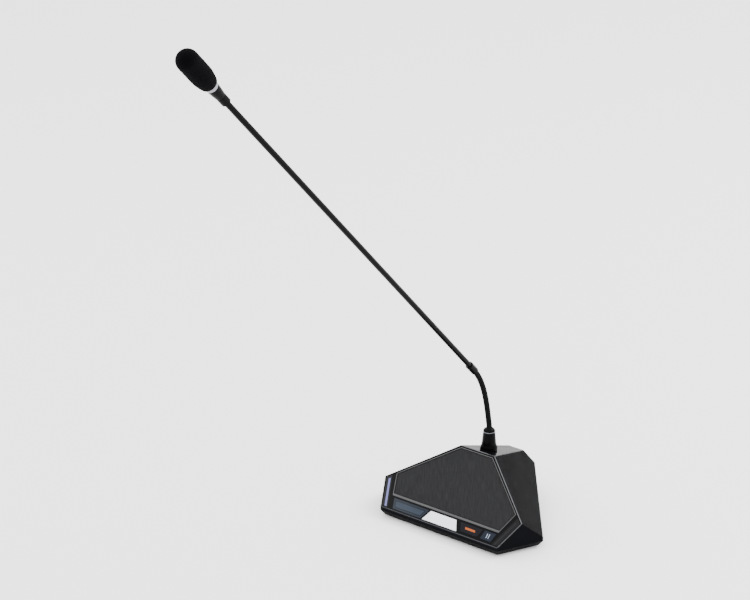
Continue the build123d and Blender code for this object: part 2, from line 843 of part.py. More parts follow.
def make_switch_bodies():
    """One push switch behind each key, bored for the plunger's whole travel."""
    plunger_low = flange_back + plunger_length + key_travel + key_end_gap
    top = control_board_depth - switch_height
    bodies = []
    for outline in key_outlines.values():
        across, up = centre_of(outline)
        square = box_outline(across, up, switch_side, switch_side)
        body = panel_slab(square, top, control_board_depth)
        body -= panel_rod(across, up, plunger_radius + plunger_play, top - overrun, plunger_low)
        bodies.append(body)
    return group(bodies)


def make_control_board():
    """Board behind the keys, with an arm up each side behind the indicators."""
    half = centre_of(channel_outline)[0] + control_board_end
    strip = [(-half, small_key_foot), (half, small_key_foot), (half, control_board_head),
             (-half, control_board_head)]
    deep = control_board_depth + board_thickness
    arm = cheek_strip(guide_inset + control_arm_inset, control_arm_width, small_key_foot, control_arm_end)
    board = panel_slab(strip, control_board_depth, deep)
    board += panel_slab(arm, control_board_depth, deep)
    board += panel_slab(flip(arm), control_board_depth, deep)
    for sign in (-1, 1):
        board -= panel_rod(sign * post_across, post_up, small_screw_radius + screw_play,
                           control_board_depth - overrun, deep + overrun)
    return board


def make_board_screws():
    """The small screws that hold the main board and the control board."""
    seat = control_board_depth + board_thickness
    grip = board_thickness + small_screw_grip
    return group(
        [small_screw(x, y, board_z + board_thickness, grip) for x, y in board_post_places]
        + [panel_screw(sign * post_across, post_up, seat, grip) for sign in (-1, 1)]
    )


def make_indicator_leds():
    """Three small light-emitting diodes behind each light guide."""
    foot, head = centre_of(guide_outline[:2]), centre_of(guide_outline[2:])
    leds = []
    for sign in (-1, 1):
        for share in led_shares:
            x = foot[0] + (head[0] - foot[0]) * share
            up = foot[1] + (head[1] - foot[1]) * share
            square = box_outline(sign * x, up, led_side, led_side)
            leds.append(panel_slab(square, control_board_depth - led_height, control_board_depth))
    return group(leds)


def make_indicator_lens(outline, slot):
    """Smoked window beside the panel's lower edge, slotted for its light guide."""
    lens = panel_slab(inset(outline, lens_gap), lens_top, lens_top + lens_thickness)
    return lens - panel_slab(inset(slot, -fit_gap), 0, guide_depth)


def make_light_guide(slot):
    """Frosted bar that carries the light to the surface."""
    return panel_slab(slot, lens_top, guide_depth)


def make_display_window():
    """Smoked window, flush with the keys."""
    return panel_slab(inset(window_outline, window_gap), key_top, window_back)


def make_display_module():
    """Plain display behind its window."""
    face = window_back + display_gap
    outline = inset(window_outline, window_ledge + display_gap)
    return panel_slab(outline, face, face + display_thickness)


# ---------------------------------------------------------------- rear sockets
def make_jack(x):
    """Eight-way modular socket, with its mouth in the rear wall."""
    back = rear_foot.Y - jack_recess
    place = Pos(x, back - jack_depth / 2, jack_z + jack_height / 2)
    jack = place * Box(jack_width, jack_depth, jack_height)
    mouth_z = jack_z + jack_mouth_rise + jack_mouth_height / 2
    mouth = Pos(x, back - jack_mouth_depth / 2 + overrun / 2, mouth_z) * Box(
        jack_mouth_width, jack_mouth_depth + overrun, jack_mouth_height)
    latch = Pos(x, back - jack_mouth_depth / 2 + overrun / 2, mouth_z - jack_mouth_height / 2) * Box(
        latch_width, jack_mouth_depth + overrun, 2 * latch_depth)
    return jack - mouth - latch


def make_jack_contacts():
    """Eight sprung wires at the top of each mouth."""
    back = rear_foot.Y - jack_recess
    top = jack_z + jack_mouth_rise + jack_mouth_height
    wires = []
    for x in jack_places:
        for i in range(contact_count):
            along = (i - (contact_count - 1) / 2) * contact_pitch
            wires.append(Pos(x + along, back - jack_mouth_depth + contact_start, top - contact_drop)
                         * Box(contact_width, contact_length, contact_height))
    return group(wires)


# ---------------------------------------------------------------- microphone socket, plug and collar
def make_mic_socket():
    """Round socket let into the sloping top, with a flat upper face."""
    top, low = socket_z, socket_z - socket_depth
    body = rod(0, socket_y, socket_wall_radius, low, top)
    flange = rod(0, socket_y, socket_radius, low, top)
    body += flange - facet_block([top_facet], low - overrun, top + overrun)
    body -= rod(0, socket_y, plug_radius + running_gap, low + contact_block, top + overrun)
    for x, y in pin_places:
        body -= rod(x, y, pin_radius + running_gap + contact_wall + contact_play,
                    low + contact_floor, low + contact_block + overrun)
    return body


pin_angles = [radians(360 * i / pin_count) for i in range(pin_count)]
pin_places = [(pin_circle * sin(angle), socket_y + pin_circle * cos(angle)) for angle in pin_angles]


def make_socket_contacts():
    """Spring sleeves that grip the plug's pins."""
    low = socket_z - socket_depth
    high = low + contact_block - contact_top_gap
    return group([
        rod(x, y, pin_radius + running_gap + contact_wall, low + contact_floor, high)
        - rod(x, y, pin_radius + running_gap, low + contact_block - pin_length - overrun, high + overrun)
        for x, y in pin_places
    ])


collar_low = socket_z + collar_rest_gap
collar_high = collar_low + collar_height
plug_foot = socket_z - socket_depth + contact_block + plug_rest_gap
ring_low = collar_high + ring_gap
dome_low = ring_low + ring_height


def make_mic_plug():
    """Plug body that slides into the socket, with a domed shoulder above the collar."""
    z = Plane(origin=(0, socket_y, 0))
    neck_foot = dome_low + neck_rise - neck_gap / 2
    profile = [
        (0, plug_foot), (plug_radius, plug_foot), (plug_radius, dome_low),
        (ring_radius - 0.5, dome_low), (ring_radius - 0.3, dome_low + 0.6),
        (ring_radius - 1.1, dome_low + dome_height * 0.45),
        (dome_top_radius + 0.3, dome_low + dome_height * 0.8),
        (neck_radius - 0.2, neck_foot - neck_radius * tan(radians(neck_vee))),
        (0, neck_foot - 0.4),
    ]
    plug = turned(z, profile)
    return plug - rod(0, socket_y, neck_bore, dome_low, neck_foot + overrun)


def make_plug_pins():
    """Five pins on the foot of the plug."""
    return group([rod(x, y, pin_radius, plug_foot - pin_length, plug_foot) for x, y in pin_places])


def make_lock_collar():
    """Tapered collar that locks the plug, flared at its foot."""
    bore = plug_radius + running_gap
    profile = [
        (bore, collar_low), (collar_foot_radius, collar_low),
        (collar_foot_radius, collar_low + collar_foot_band),
        (collar_waist_radius, collar_low + collar_flare),
        (collar_top_radius, collar_high), (bore, collar_high),
    ]
    return turned(Plane(origin=(0, socket_y, 0)), profile)


def make_collar_ring():
    """Bright ring on top of the plug body, under the shoulder."""
    profile = [(plug_radius, ring_low), (ring_radius, ring_low), (ring_radius, dome_low),
               (plug_radius, dome_low)]
    return turned(Plane(origin=(0, socket_y, 0)), profile)


# ---------------------------------------------------------------- gooseneck and stem
def lean(tilt):
    """Unit vector that leans forward from upright by tilt degrees."""
    return Vector(0, -sin(radians(tilt)), cos(radians(tilt)))


neck_tilts = [
    neck_first_tilt + (neck_last_tilt - neck_first_tilt) * (i / (neck_links - 1)) ** neck_curl
    for i in range(neck_links)
]
neck_pivots = [Vector(0, socket_y, dome_low + neck_rise)]
for tilt in neck_tilts:
    neck_pivots.append(neck_pivots[-1] + lean(tilt) * neck_pitch)


def make_neck_link(index):
    """A length of the flexible neck, cut back at both ends so that it can bend."""
    place = Plane(origin=neck_pivots[index], x_dir=(1, 0, 0), z_dir=lean(neck_tilts[index]))
    slope = tan(radians(neck_vee))
    near = neck_gap / 2
    far = neck_pitch - near
    profile = [
        (neck_bore, near + neck_bore * slope), (neck_radius, near + neck_radius * slope),
        (neck_radius, far - neck_radius * slope), (neck_bore, far - neck_bore * slope),
    ]
    return turned(place, profile)


def stem_place(distance):
    """Frame on the stem, at a distance from the last pivot, with z along the stem."""
    direction = lean(stem_tilt)
    return Plane(origin=neck_pivots[-1] + direction * distance, x_dir=(1, 0, 0), z_dir=direction)


def tube(start, length, outer, inner):
    """A plain tube on the stem's axis."""
    return turned(stem_place(start), [(inner, 0), (outer, 0), (outer, length), (inner, length)])


housing_start = coupler_start + coupler_length
lamp_ring_start = housing_start + housing_length
capsule_start = lamp_ring_start + lamp_ring_length
foam_start = capsule_start + collar_step
cartridge_radius = capsule_radius - basket_wall - cartridge_play


def make_lower_sleeve():
    """Ferrule that joins the flexible neck to the stem."""
    slope = tan(radians(neck_vee))
    b = sleeve_bevel
    grip = stem_start - sleeve_start
    profile = [
        (neck_bore, neck_bore * slope), (neck_radius, neck_radius * slope), (sleeve_radius - b, b + 0.4),
        (sleeve_radius, 2 * b + 0.4), (sleeve_radius, sleeve_length - b),
        (sleeve_radius - b, sleeve_length), (stem_radius, sleeve_length), (stem_radius, grip),
        (neck_bore, grip),
    ]
    return turned(stem_place(sleeve_start), profile)


def make_stem_tube():
    """Long straight tube between the two ferrules."""
    length = coupler_start + stem_grip - stem_start
    return tube(stem_start, length, stem_radius, stem_radius - stem_wall)


def make_stem_cable():
    """Screened lead inside the stem."""
    length = coupler_start + stem_grip - stem_start
    profile = [(0, cable_end), (cable_radius, cable_end), (cable_radius, length), (0, length)]
    return turned(stem_place(stem_start), profile)


def make_upper_coupler():
    """Ferrule between the stem and the head."""
    b = coupler_bevel
    profile = [
        (stem_radius, 0), (coupler_radius - b, 0), (coupler_radius, b),
        (coupler_radius, coupler_length - b), (coupler_radius - b, coupler_length),
        (cable_radius + cable_play, coupler_length), (cable_radius + cable_play, stem_grip),
        (stem_radius, stem_grip),
    ]
    return turned(stem_place(coupler_start), profile)


def make_capsule_housing():
    """Tapered head body that flares towards the lamp ring."""
    middle = housing_foot_radius + (housing_top_radius - housing_foot_radius) * housing_swell
    half_way = housing_length / 2
    profile = [
        (cable_radius + cable_play, 0), (housing_foot_radius, 0), (middle, half_way),
        (housing_top_radius, housing_length - head_band), (housing_top_radius, housing_length),
        (housing_top_radius - head_wall, housing_length), (middle - head_wall, half_way),
        (cable_radius + cable_play, head_floor),
    ]
    return turned(stem_place(housing_start), profile)


def make_lamp_ring():
    """Frosted ring that lights when the microphone is on."""
    return tube(lamp_ring_start, lamp_ring_length, lamp_ring_radius, cartridge_radius)


def make_capsule_basket():
    """Metal nose over the capsule, slotted at the sides and open at the tip."""
    length = capsule_length
    basket = tube(capsule_start, length, capsule_radius, capsule_radius - basket_wall)
    for angle in (0, 60, 120):
        slot = Rot(0, 0, angle) * Pos(0, 0, length * nose_slot_middle) * Box(
            3 * capsule_radius, nose_slot_width, length * nose_slot_share)
        basket -= stem_place(capsule_start) * slot
    return basket


def make_capsule_cartridge():
    """Microphone capsule held inside the nose by its rim."""
    start = capsule_start + capsule_length - cartridge_length - cartridge_rim
    r = capsule_radius - basket_wall
    profile = [(0, 0), (r, 0), (r, cartridge_rim), (cartridge_radius, cartridge_rim),
               (cartridge_radius, cartridge_length), (0, cartridge_length)]
    return turned(stem_place(start), profile)


def make_foam_windscreen():
    """Foam sleeve with a round tip, pushed over the nose."""
    bore = capsule_radius + foam_play
    reach = capsule_length - collar_step + foam_end_gap
    swell = foam_length * foam_swell
    with BuildPart() as foam:
        with BuildSketch(Plane.XZ):
            with BuildLine():
                foot = Polyline((bore, reach), (bore, 0), (foam_foot_radius, 0))
                side = Spline(foot @ 1, (foam_radius - 0.5, swell * 0.55), (foam_radius, swell * 1.6),
                              tangents=((0.9, 0.5), (0, 1)))
                Line(side @ 1, (foam_radius, foam_length - foam_radius))
                tip = CenterArc((0, foam_length - foam_radius), foam_radius, 0, 90)
                Polyline(tip @ 1, (0, reach), (bore, reach))
            make_face()
        revolve(axis=Axis.Z)
    return stem_place(foam_start) * foam.part


# ---------------------------------------------------------------- build every node
save("upper_housing", make_upper_housing())
save("base_tray", make_base_tray())
save("rubber_sole", make_rubber_sole())
save("housing_screws", make_housing_screws())
save("ballast_plate", make_ballast())
save("main_board", make_main_board())

save("front_frame", make_front_frame())
save("grille_backer", make_grille_backer())
save("grille_bezel", make_grille_bezel())
save("speaker_grille", make_speaker_grille())
save("speaker_gasket", make_speaker_gasket())
save("speaker_basket", make_speaker_basket())
save("speaker_cone", make_speaker_cone())
save("speaker_surround", make_speaker_surround())
save("speaker_magnet", make_speaker_magnet())
save("speaker_screws", make_speaker_screws())

save("speak_key", make_key(speak_outline))
save("priority_key", make_key(priority_outline, priority_lamp_outline))
save("priority_lamp", panel_slab(priority_lamp_outline, key_top, key_top + lamp_depth))
save("channel_key", make_channel_key())
save("channel_marks", group([
    panel_slab(mark, key_top, key_top + lamp_depth) for mark in channel_mark_outlines]))
for key_name, key_outline in key_outlines.items():
    save(f"{key_name}_plunger", make_plunger(key_outline))
save("switch_bodies", make_switch_bodies())
save("control_board", make_control_board())
save("board_screws", make_board_screws())
save("indicator_leds", make_indicator_leds())
save("right_indicator_lens", make_indicator_lens(lens_outline, guide_outline))
save("left_indicator_lens", make_indicator_lens(flip(lens_outline), flip(guide_outline)))
save("right_light_guide", make_light_guide(guide_outline))
save("left_light_guide", make_light_guide(flip(guide_outline)))
save("display_window", make_display_window())
save("display_module", make_display_module())

save("left_network_socket", make_jack(jack_places[0]))
save("right_network_socket", make_jack(jack_places[1]))
save("network_contacts", make_jack_contacts())

save("mic_socket", make_mic_socket())
save("socket_contacts", make_socket_contacts())
save("mic_plug", make_mic_plug())
save("plug_pins", make_plug_pins())
save("lock_collar", make_lock_collar())
save("collar_ring", make_collar_ring())
for number in range(neck_links):
    save(f"neck_link_{number + 1}", make_neck_link(number))
save("lower_sleeve", make_lower_sleeve())
save("stem_tube", make_stem_tube())
save("stem_cable", make_stem_cable())
save("upper_coupler", make_upper_coupler())
save("capsule_housing", make_capsule_housing())
save("lamp_ring", make_lamp_ring())
save("capsule_basket", make_capsule_basket())
save("capsule_cartridge", make_capsule_cartridge())
save("foam_windscreen", make_foam_windscreen())
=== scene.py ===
import json
from math import acos, atan2, cos, pi, radians, sin, sqrt, tau

import bpy
from bpy.props import FloatProperty, FloatVectorProperty, IntProperty, PointerProperty
from mathutils import Matrix, Vector, noise

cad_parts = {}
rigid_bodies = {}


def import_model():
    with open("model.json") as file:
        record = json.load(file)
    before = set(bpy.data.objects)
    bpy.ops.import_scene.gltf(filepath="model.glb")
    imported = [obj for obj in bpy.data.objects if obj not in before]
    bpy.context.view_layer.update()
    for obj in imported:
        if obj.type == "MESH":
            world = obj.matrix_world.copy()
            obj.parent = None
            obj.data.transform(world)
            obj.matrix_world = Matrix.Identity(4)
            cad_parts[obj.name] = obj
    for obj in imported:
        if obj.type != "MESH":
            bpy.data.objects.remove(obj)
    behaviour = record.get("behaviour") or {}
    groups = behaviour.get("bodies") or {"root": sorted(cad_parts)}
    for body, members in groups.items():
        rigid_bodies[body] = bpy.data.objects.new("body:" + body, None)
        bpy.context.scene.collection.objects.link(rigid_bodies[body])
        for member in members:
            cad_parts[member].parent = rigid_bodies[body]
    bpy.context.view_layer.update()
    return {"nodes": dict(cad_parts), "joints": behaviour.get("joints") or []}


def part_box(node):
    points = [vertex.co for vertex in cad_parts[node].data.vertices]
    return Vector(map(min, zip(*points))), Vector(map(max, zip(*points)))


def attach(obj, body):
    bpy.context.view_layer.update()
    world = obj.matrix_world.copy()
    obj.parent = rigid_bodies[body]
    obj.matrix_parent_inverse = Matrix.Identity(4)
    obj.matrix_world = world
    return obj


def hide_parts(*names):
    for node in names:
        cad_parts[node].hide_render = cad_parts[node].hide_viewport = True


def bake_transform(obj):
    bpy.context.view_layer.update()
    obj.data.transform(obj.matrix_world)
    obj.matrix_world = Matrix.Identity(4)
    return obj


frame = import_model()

bl_info = {
    "name": "Podium microphone",
    "version": (1, 0, 0),
    "blender": (4, 5, 0),
    "location": "3D View > Sidebar > Podium microphone",
    "description": "Finishes a podium microphone: its cloth, foam, flexible neck and materials",
    "category": "Object",
}

joints = {joint["name"]: joint for joint in frame["joints"]}
MM = 0.001


# ---------------------------------------------------------------- colours and nodes
def linear(code):
    """Linear colour, with full alpha, of an sRGB hex code such as #17181B."""
    shares = [int(code[i:i + 2], 16) / 255 for i in (1, 3, 5)]
    levels = [v / 12.92 if v <= 0.04045 else ((v + 0.055) / 1.055) ** 2.4 for v in shares]
    return (*levels, 1.0)


def add(tree, kind, inputs=None, **settings):
    """Add one shader node. Inputs are values or another node's output sockets."""
    node = tree.nodes.new("ShaderNode" + kind)
    for name, value in settings.items():
        setattr(node, name, value)
    for name, value in (inputs or {}).items():
        if isinstance(value, bpy.types.NodeSocket):
            tree.links.new(value, node.inputs[name])
        else:
            node.inputs[name].default_value = value
    return node


def new_material(name):
    """An empty node material, and the coordinates in metres that its patterns use."""
    material = bpy.data.materials.new(name)
    material.use_nodes = True
    tree = material.node_tree
    tree.nodes.clear()
    return material, tree, add(tree, "TexCoord").outputs["Object"]


def surface(tree, **sockets):
    """The shader itself. Underscores in the names stand for spaces."""
    shader = add(tree, "BsdfPrincipled", {name.replace("_", " "): v for name, v in sockets.items()})
    add(tree, "OutputMaterial", {"Surface": shader.outputs["BSDF"]})


def per_metre(size_mm):
    """Texture scale at which one feature is that many millimetres wide."""
    return 1 / (size_mm * MM)


def grained(tree, place, grain_mm, depth_mm, smooth, rough, patch_mm=18.0):
    """A bump of that grain and depth, and a roughness that wanders between two values.
    The patches it wanders over are about as wide as a finger."""
    grain = add(tree, "TexNoise", {"Vector": place, "Scale": per_metre(grain_mm), "Detail": 3.0})
    wander = add(tree, "TexNoise", {"Vector": place, "Scale": per_metre(patch_mm), "Detail": 5.0})
    roughness = add(tree, "MapRange", {
        "Value": wander.outputs["Fac"], "From Min": 0.3, "From Max": 0.7,
        "To Min": smooth, "To Max": rough})
    bump = add(tree, "Bump", {
        "Height": grain.outputs["Fac"], "Strength": 1.0, "Distance": depth_mm * MM})
    return roughness.outputs["Result"], bump.outputs["Normal"]


def mottled(tree, place, colour, share, size_mm):
    """A colour that varies a little, as pigment and handling leave it."""
    spots = add(tree, "TexNoise", {"Vector": place, "Scale": per_metre(size_mm), "Detail": 4.0})
    lighter = [min(1.0, c * (1 + share)) for c in colour[:3]] + [1.0]
    darker = [c * (1 - share) for c in colour[:3]] + [1.0]
    return add(tree, "MixRGB", {
        "Fac": spots.outputs["Fac"], "Color1": darker, "Color2": lighter}).outputs["Color"]


def one_colour(name, colour, grain, gloss, mottle, **sockets):
    """A material of one colour. The grain is its size and depth in mm, the gloss two roughnesses,
    and the mottle how far the colour wanders, as a share, and over how many mm."""
    material, tree, place = new_material(name)
    roughness, normal = grained(tree, place, *grain, *gloss)
    surface(tree, Base_Color=mottled(tree, place, colour, *mottle), Roughness=roughness,
            Normal=normal, **sockets)
    return material


# ---------------------------------------------------------------- materials: plastics
def textured_abs(colour):
    """ABS, injection-moulded in a spark-eroded tool: a satin sheen that breaks up very finely."""
    return one_colour(
        "Spark-textured black ABS", colour, grain=(0.45, 0.006), gloss=(0.2, 0.26),
        mottle=(0.12, 12.0), IOR=1.54, Specular_IOR_Level=0.025, Specular_Tint=linear("#B9C2E0"))


def matt_abs(colour):
    """ABS from a coarser tool: the tray takes almost no highlight."""
    return one_colour(
        "Matt black ABS", colour, grain=(0.7, 0.02), gloss=(0.5, 0.62), mottle=(0.15, 9.0),
        IOR=1.54, Specular_IOR_Level=0.03)


def polished_abs(name, colour, coat=0.0):
    """ABS from a polished tool: mirror-like, with a slow waviness from shrinkage."""
    return one_colour(
        name, colour, grain=(14.0, 0.02), gloss=(0.07, 0.15), mottle=(0.08, 20.0), IOR=1.54,
        Specular_IOR_Level=0.04, Coat_Weight=coat, Coat_Roughness=0.05, Coat_IOR=1.2)


def painted_highlight_chamfer(colour):
    """ABS chamfer painted paler than the housing: a painted highlight that stands for the pale line
    where the edge catches the light.
    """
    return one_colour(
        "ABS chamfer with painted highlight", colour, grain=(0.6, 0.003), gloss=(0.2, 0.3), mottle=(0.15, 6.0),
        IOR=1.54)


def silver_lacquer(colour):
    """Silver lacquer over a moulded key: fine flakes under a clear coat."""
    material, tree, place = new_material("Silver lacquer on ABS")
    flakes = add(tree, "TexVoronoi", {"Vector": place, "Scale": per_metre(0.18)})
    shade = add(tree, "MixRGB", {
        "Fac": flakes.outputs["Distance"], "Color1": colour, "Color2": linear("#C4C7CC")})
    roughness, normal = grained(tree, place, 0.3, 0.004, 0.26, 0.34)
    surface(tree, Base_Color=shade.outputs["Color"], Metallic=0.25, Roughness=roughness,
            Coat_Weight=0.4, Coat_Roughness=0.12, Normal=normal)
    return material


def smoked_acrylic(name, colour):
    """Cast acrylic, smoked and flame-polished: deep, glossy and slightly wavy."""
    return one_colour(
        name, colour, grain=(9.0, 0.008), gloss=(0.04, 0.09), mottle=(0.1, 6.0), IOR=1.49,
        Specular_IOR_Level=0.1)


def frosted_polycarbonate(name, colour, glow):
    """Frosted polycarbonate light guide: milky, and lit from behind where the lamp is on."""
    return one_colour(
        name, colour, grain=(0.25, 0.01), gloss=(0.3, 0.42), mottle=(0.06, 3.0), IOR=1.58,
        Specular_IOR_Level=0.1, Emission_Color=colour, Emission_Strength=glow)


def glass_filled_nylon(name, colour):
    """Glass-filled nylon: short fibres show as faint pale flecks on a dull surface."""
    material, tree, place = new_material(name)
    fibres = add(tree, "TexVoronoi", {"Vector": place, "Scale": per_metre(0.8)})
    flecks = add(tree, "MapRange", {
        "Value": fibres.outputs["Distance"], "From Min": 0.0, "From Max": 0.12,
        "To Min": 0.35, "To Max": 0.0})
    shade = add(tree, "MixRGB", {
        "Fac": flecks.outputs["Result"], "Color1": colour, "Color2": linear("#4A4A47")})
    roughness, normal = grained(tree, place, 0.5, 0.02, 0.4, 0.55)
    surface(tree, Base_Color=shade.outputs["Color"], Roughness=roughness, IOR=1.53,
            Specular_IOR_Level=0.05, Normal=normal)
    return material


def printed_ink(colour):
    """Pad-printed ink: a thin, slightly uneven film."""
    return one_colour(
        "Pale pad-printed ink", colour, grain=(0.12, 0.004), gloss=(0.4, 0.5), mottle=(0.08, 0.5))


def solder_mask(colour):
    """Glass-epoxy board under green solder mask, with the copper tracks raised below it."""
    material, tree, place = new_material("Green solder mask on glass epoxy")
    tracks = add(tree, "TexBrick", {
        "Vector": place, "Scale": per_metre(8.0), "Mortar Size": 0.03, "Color1": colour,
        "Color2": linear("#123D22"), "Mortar": linear("#2F6B3E")}, offset=0.35)
    bump = add(tree, "Bump", {
        "Height": tracks.outputs["Fac"], "Strength": 0.5, "Distance": 0.03 * MM})
    surface(tree, Base_Color=tracks.outputs["Color"], Roughness=0.3, IOR=1.55,
            Normal=bump.outputs["Normal"])
    return material


# ---------------------------------------------------------------- materials: soft goods
def vulcanised_rubber(name, colour):
    """Vulcanised rubber: dull, with a dusty bloom."""
    return one_colour(
        name, colour, grain=(0.6, 0.03), gloss=(0.62, 0.8), mottle=(0.3, 4.0), IOR=1.52,
        Specular_IOR_Level=0.05)


def acoustic_cloth(colour, thread_mm, turn, streak=0.09):
    """Woven polyester acoustic cloth: crossing threads, with dark and light ends among the warp.
    The streak is how fast the ends' colour changes along the warp, as a share of across it."""
    material, tree, place = new_material("Woven charcoal acoustic cloth")
    turned = add(tree, "Mapping", {"Vector": place, "Rotation": (0.0, 0.0, turn)},
                 vector_type="TEXTURE")
    place = turned.outputs["Vector"]
    threads_per_unit = 20 / tau  # in a wave texture at scale 1
    warp, weft = [add(tree, "TexWave", {
        "Vector": place, "Scale": per_metre(thread_mm) / threads_per_unit, "Distortion": 0.6,
        "Detail": 1.0}, bands_direction=direction) for direction in "XY"]
    weave = add(
        tree, "Math", {0: warp.outputs["Fac"], 1: weft.outputs["Fac"]}, operation="MULTIPLY")
    stretched = add(tree, "Mapping", {"Vector": place, "Scale": (1.0, streak, 1.0)})
    ends = add(tree, "TexNoise", {
        "Vector": stretched.outputs["Vector"], "Scale": per_metre(1.3), "Detail": 6.0,
        "Roughness": 0.7})
    strong = add(tree, "MapRange", {"Value": ends.outputs["Fac"], "From Min": 0.3, "From Max": 0.7})
    threads = add(tree, "MixRGB", {
        "Fac": strong.outputs["Result"], "Color1": linear("#121313"), "Color2": colour})
    gaps = add(tree, "MapRange", {"Value": weave.outputs["Value"], "To Min": 0.45, "To Max": 1.0})
    shade = add(tree, "MixRGB", {
        "Fac": gaps.outputs["Result"], "Color1": linear("#0C0C0D"),
        "Color2": threads.outputs["Color"]})
    bump = add(tree, "Bump", {
        "Height": weave.outputs["Value"], "Strength": 0.7, "Distance": 0.12 * MM})
    surface(tree, Base_Color=shade.outputs["Color"], Roughness=0.72, Specular_IOR_Level=0.1,
            Sheen_Weight=0.03, Sheen_Roughness=0.4, Normal=bump.outputs["Normal"])
    return material


def open_cell_foam(name, colour, cell_mm):
    """Reticulated polyurethane foam: round open cells whose rims catch a little light."""
    material, tree, place = new_material(name)
    cells = add(tree, "TexVoronoi", {"Vector": place, "Scale": per_metre(cell_mm)})
    fine = add(tree, "TexNoise", {"Vector": place, "Scale": per_metre(cell_mm / 3), "Detail": 3.0})
    rims = add(tree, "MapRange", {
        "Value": cells.outputs["Distance"], "From Min": 0.1, "From Max": 0.7,
        "To Min": 0.0, "To Max": 1.0})
    shade = add(tree, "MixRGB", {
        "Fac": rims.outputs["Result"], "Color1": linear("#030304"), "Color2": colour})
    height = add(tree, "Math", {0: rims.outputs["Result"], 1: fine.outputs["Fac"]}, operation="ADD")
    bump = add(tree, "Bump", {
        "Height": height.outputs["Value"], "Strength": 0.9, "Distance": 0.35 * MM})
    surface(tree, Base_Color=shade.outputs["Color"], Roughness=0.95, Specular_IOR_Level=0.02,
            Sheen_Weight=0.01, Normal=bump.outputs["Normal"])
    return material


def pressed_paper(colour):
    """Pressed paper cone: matted fibres."""
    return one_colour(
        "Black pressed paper", colour, grain=(0.5, 0.06), gloss=(0.8, 0.92), mottle=(0.4, 1.5))


# ---------------------------------------------------------------- materials: metals
def lacquered_metal(name, colour, smooth, rough):
    """Black lacquer on turned metal: a clear gloss with faint orange peel."""
    return one_colour(
        name, colour, grain=(2.2, 0.006), gloss=(smooth, rough), mottle=(0.1, 15.0), IOR=1.5,
        Specular_IOR_Level=0.03)


def satin_paint(colour):
    """Satin grey paint on pressed aluminium: even, with fine orange peel."""
    return one_colour(
        "Satin grey paint on aluminium", colour, grain=(0.9, 0.008), gloss=(0.36, 0.44),
        mottle=(0.06, 8.0), IOR=1.5)


def plated_metal(name, colour, smooth, rough):
    """Plated metal: bright, with polishing marks that soften the reflection."""
    return one_colour(
        name, colour, grain=(0.25, 0.003), gloss=(smooth, rough), mottle=(0.05, 5.0), Metallic=1.0)


def sintered_ferrite(colour):
    """Sintered ferrite: dull dark grey and slightly pitted."""
    return one_colour(
        "Sintered ferrite", colour, grain=(0.8, 0.05), gloss=(0.55, 0.7), mottle=(0.2, 3.0))


# ---------------------------------------------------------------- meshes
def mesh_piece(name, points, faces, material, smooth=True):
    """A mesh object from its points and faces, with its material."""
    mesh = bpy.data.meshes.new(name)
    mesh.from_pydata([tuple(p) for p in points], [], faces)
    mesh.update()
    mesh.shade_smooth() if smooth else mesh.shade_flat()
    mesh.materials.append(material)
    piece = bpy.data.objects.new(name, mesh)
    bpy.context.scene.collection.objects.link(piece)
    return piece


def neighbours(points):
    """Each point of a closed outline, paired with the next one round it."""
    return zip(points, points[1:] + points[:1])


def ring_faces(rings, around, tip=None):
    """Quads between successive closed rings of points, and triangles from the last one to a tip."""
    faces = []
    for j in range(rings - 1):
        for i in range(around):
            near, far, k = j * around, (j + 1) * around, (i + 1) % around
            faces.append((near + i, near + k, far + k, far + i))
    if tip is not None:
        last = (rings - 1) * around
        faces += [(last + i, last + (i + 1) % around, tip) for i in range(around)]
    return faces


def dress(material, *nodes):
    """Give CAD nodes a material through their objects' slots."""
    for name in nodes:
        for slot in frame["nodes"][name].material_slots:
            slot.material = material


def span(node, origin, direction):
    """How far along a line a node starts and ends."""
    reach = [(v.co - origin).dot(direction) for v in frame["nodes"][node].data.vertices]
    return min(reach), max(reach)


def half_width(node):
    """Half a node's width across the station."""
    low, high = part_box(node)
    return (high.x - low.x) / 2


def face_outline(node, outward, tolerance=0.01 * MM):
    """Corners of a node's outermost flat face, in order round it as seen from outside."""
    vertices = [v.co for v in frame["nodes"][node].data.vertices]
    top = max(v.dot(outward) for v in vertices)
    corners = []
    for v in vertices:
        if top - v.dot(outward) < tolerance and all((v - c).length > tolerance for c in corners):
            corners.append(v.copy())
    middle = sum(corners, Vector()) / len(corners)
    across = Vector((1, 0, 0))
    up = outward.cross(across)
    return sorted(corners, key=lambda c: atan2((c - middle).dot(up), (c - middle).dot(across)))


# ---------------------------------------------------------------- sizes and colours
class StageSettings(bpy.types.PropertyGroup):
    """Camera, light and floor."""
    azimuth: FloatProperty(
        name="Azimuth", description="How far the camera stands round to the right",
        default=radians(37.997), subtype="ANGLE")
    elevation: FloatProperty(
        name="Elevation", description="How steeply the camera looks down",
        default=radians(22.409), subtype="ANGLE")
    place: FloatVectorProperty(
        name="Camera place", description="Where the camera stands",
        default=(1.31662, -1.87208, 1.19601), subtype="TRANSLATION", precision=4)
    lens: FloatProperty(name="Lens", description="Focal length", default=111.124, unit="CAMERA")
    floor_colour: FloatVectorProperty(
        name="Floor", description="Colour of the floor", default=linear("#F4F4F4"), size=4,
        subtype="COLOR")
    floor_size: FloatProperty(
        name="Floor size", description="Side of the floor", default=24.0, unit="LENGTH")
    sky: FloatProperty(
        name="Sky", description="Strength of the light from above", default=3.4, min=0.0)
    horizon: FloatProperty(
        name="Horizon", description="Share of that light that comes from low down", default=0.1,
        min=0.0, max=1.0)
    softbox: FloatProperty(
        name="Softbox", description="Power of the large soft light", default=60.0, unit="POWER")
    fill: FloatProperty(
        name="Fill", description="Power of the fill light", default=12.0, unit="POWER")


